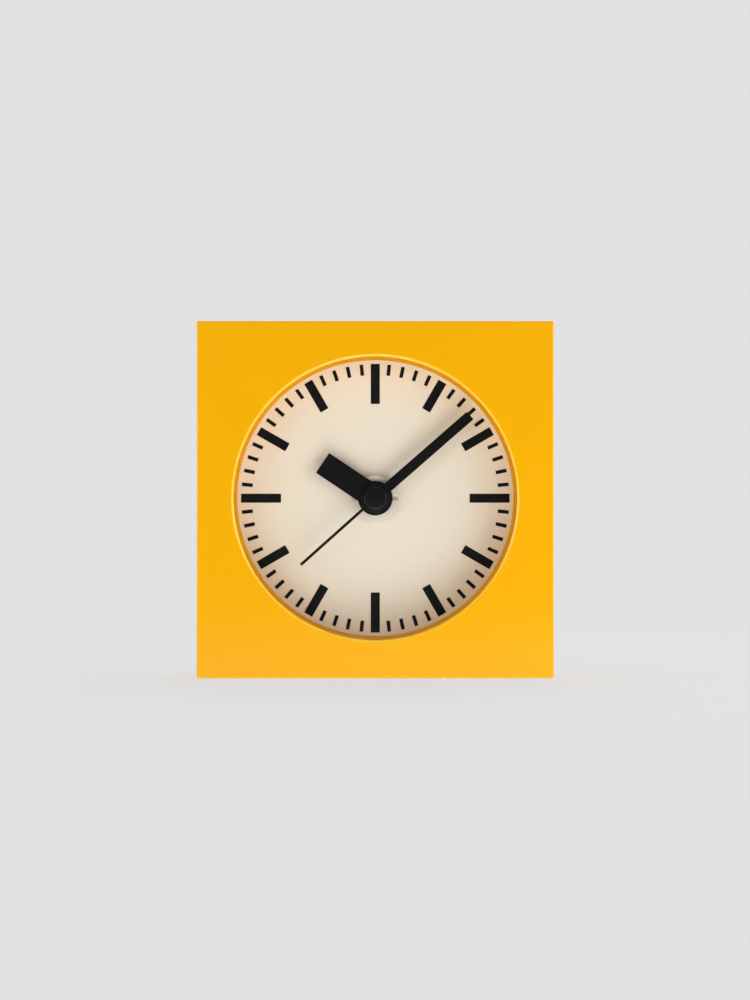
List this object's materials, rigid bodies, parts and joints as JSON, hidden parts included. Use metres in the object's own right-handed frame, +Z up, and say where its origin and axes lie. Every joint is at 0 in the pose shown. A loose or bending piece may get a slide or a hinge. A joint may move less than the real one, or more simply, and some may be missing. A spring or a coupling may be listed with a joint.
{
  "type": "pendulette clock",
  "caption": "Small square table clock: one-piece yellow case with a round opening, clear window, cream dial, black hands, quartz movement and rear battery door.",
  "frame": {"origin": "on the table, under the middle of the case", "axes": "+Z up; the dial faces -Y, so +X is to the right for someone reading it; the case is thinnest along Y"},
  "size_m": [0.1, 0.04, 0.1],
  "materials": {
    "yellow_plastic": "satin gloss, moulded",
    "clear_window": "clear, polished acrylic",
    "cream_dial": "matt cream print",
    "black_print": "screen-printed ink",
    "black_enamel": "matt black enamel",
    "nickel": "bright nickel plate",
    "brass": "turned",
    "rubber": "moulded",
    "steel": "plain steel",
    "black_plastic": "fine moulded grain",
    "grey_plastic": "moulded",
    "white_plastic": "moulded acetal",
    "magnet": "sintered magnet",
    "copper_wire": "enamelled copper wire",
    "cell_jacket": "printed steel jacket, bare ends",
    "board_green": "printed circuit board",
    "black_resin": "cast resin"
  },
  "bodies": {
    "clock_case": {"case": "yellow_plastic", "reveal_ring": "yellow_plastic", "lens": "clear_window", "dial": "cream_dial", "hour_marks": "black_print", "minute_marks": "black_print", "shaft_nut": "nickel", "threaded_bush": "brass", "shaft_washer": "rubber", "dial_screws": "steel", "cover_screws": "steel", "bridge_screws": "steel", "rear_cover": "black_plastic", "movement_front_shell": "black_plastic", "movement_rear_shell": "black_plastic", "gear_bridge": "grey_plastic", "stator": "steel", "coil_core": "steel", "coil_bobbin": "white_plastic", "coil_winding": "copper_wire", "battery_cell": "cell_jacket", "positive_contact": "nickel", "negative_contact": "nickel", "circuit_board": "board_green", "control_chip": "black_resin", "quartz_crystal": "steel"},
    "battery_door": {"battery_door": "black_plastic"},
    "seconds_train": {"seconds_wheel": "white_plastic", "seconds_arbor": "steel", "seconds_hand": "black_enamel"},
    "rotor": {"rotor_magnet": "magnet", "rotor_pinion": "white_plastic"},
    "step_gear": {"step_wheel": "white_plastic"},
    "third_gear": {"third_wheel": "white_plastic"},
    "centre_gear": {"centre_wheel": "white_plastic"},
    "hour_train": {"hour_wheel": "white_plastic", "hour_hand": "black_enamel"},
    "minute_train": {"cannon_pinion": "brass", "minute_hand": "black_enamel"},
    "motion_gear": {"motion_wheel": "white_plastic"},
    "hand_setter": {"setting_arbor": "white_plastic", "setting_knob": "black_plastic"}
  },
  "joints": [
    {"name": "battery_door_hinge", "type": "hinge", "parent": "clock_case", "child": "battery_door", "pos_m": [0, 0.0145, 0.03955], "axis": [1, 0, 0], "range_deg": [0, 95]},
    {"name": "seconds_spin", "type": "hinge", "parent": "clock_case", "child": "seconds_train", "pos_m": [0, 0.004, 0.0504], "axis": [0, 1, 0], "continuous": true},
    {"name": "rotor_spin", "type": "hinge", "parent": "clock_case", "child": "rotor", "pos_m": [0.01198, 0.0044, 0.06222], "axis": [0, 1, 0], "continuous": true},
    {"name": "step_spin", "type": "hinge", "parent": "clock_case", "child": "step_gear", "pos_m": [0.00697, 0.007, 0.05625], "axis": [0, 1, 0], "continuous": true},
    {"name": "third_spin", "type": "hinge", "parent": "clock_case", "child": "third_gear", "pos_m": [-0.00898, 0.0038, 0.05742], "axis": [0, 1, 0], "continuous": true},
    {"name": "centre_spin", "type": "hinge", "parent": "clock_case", "child": "centre_gear", "pos_m": [0, 0.001, 0.0504], "axis": [0, 1, 0], "continuous": true},
    {"name": "hour_spin", "type": "hinge", "parent": "clock_case", "child": "hour_train", "pos_m": [0, -0.0022, 0.0504], "axis": [0, 1, 0], "continuous": true},
    {"name": "minute_spin", "type": "hinge", "parent": "clock_case", "child": "minute_train", "pos_m": [0, -0.0006, 0.0504], "axis": [0, 1, 0], "continuous": true},
    {"name": "motion_spin", "type": "hinge", "parent": "clock_case", "child": "motion_gear", "pos_m": [0.00761, -0.0014, 0.04685], "axis": [0, 1, 0], "continuous": true},
    {"name": "setting_spin", "type": "hinge", "parent": "clock_case", "child": "hand_setter", "pos_m": [0.01551, 0.014, 0.04972], "axis": [0, 1, 0], "continuous": true}
  ],
  "couplings": [
    {"joint": "rotor_spin", "follows": "seconds_spin", "ratio": 30},
    {"joint": "step_spin", "follows": "seconds_spin", "ratio": -6},
    {"joint": "third_spin", "follows": "seconds_spin", "ratio": -0.13333},
    {"joint": "centre_spin", "follows": "seconds_spin", "ratio": 0.016667},
    {"joint": "minute_spin", "follows": "hour_spin", "ratio": 12},
    {"joint": "motion_spin", "follows": "hour_spin", "ratio": -4},
    {"joint": "setting_spin", "follows": "hour_spin", "ratio": 12}
  ]
}
